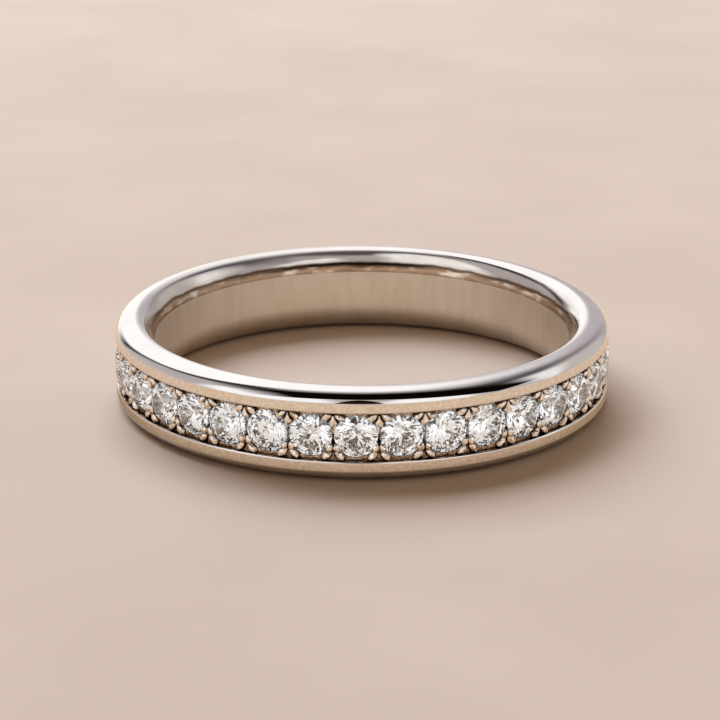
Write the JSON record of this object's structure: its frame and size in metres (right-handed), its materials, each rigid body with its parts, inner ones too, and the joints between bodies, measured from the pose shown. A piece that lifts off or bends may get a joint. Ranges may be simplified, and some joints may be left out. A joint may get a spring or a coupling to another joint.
{
  "type": "cubic zirconia ring",
  "caption": "Full eternity band ring: a polished channel between two rails holds a circle of small round brilliant stones, each held by raised metal beads.",
  "frame": {"origin": "on the finger's axis, in the plane that the lower rim rests on", "axes": "+Z along the finger's axis, up from the surface the ring lies on; -Y towards the middle of stone_01, the picture's nearest stone; +X to the right of the picture"},
  "size_m": [0.0208, 0.0208, 0.0037],
  "materials": {
    "polished_white_metal": "mirror-polished rhodium plate over 925 silver",
    "cubic_zirconia": "faceted and polished, colourless, refractive index about 2.16"
  },
  "bodies": {
    "root": {"band": "polished_white_metal", "stone_01": "cubic_zirconia", "stone_02": "cubic_zirconia", "stone_03": "cubic_zirconia", "stone_04": "cubic_zirconia", "stone_05": "cubic_zirconia", "stone_06": "cubic_zirconia", "stone_07": "cubic_zirconia", "stone_08": "cubic_zirconia", "stone_09": "cubic_zirconia", "stone_10": "cubic_zirconia", "stone_11": "cubic_zirconia", "stone_12": "cubic_zirconia", "stone_13": "cubic_zirconia", "stone_14": "cubic_zirconia", "stone_15": "cubic_zirconia", "stone_16": "cubic_zirconia", "stone_17": "cubic_zirconia", "stone_18": "cubic_zirconia", "stone_19": "cubic_zirconia", "stone_20": "cubic_zirconia", "stone_21": "cubic_zirconia", "stone_22": "cubic_zirconia", "stone_23": "cubic_zirconia", "stone_24": "cubic_zirconia", "stone_25": "cubic_zirconia", "stone_26": "cubic_zirconia", "stone_27": "cubic_zirconia", "stone_28": "cubic_zirconia", "stone_29": "cubic_zirconia", "stone_30": "cubic_zirconia", "stone_31": "cubic_zirconia", "stone_32": "cubic_zirconia", "stone_33": "cubic_zirconia", "stone_34": "cubic_zirconia", "stone_35": "cubic_zirconia", "stone_36": "cubic_zirconia"}
  },
  "joints": []
}
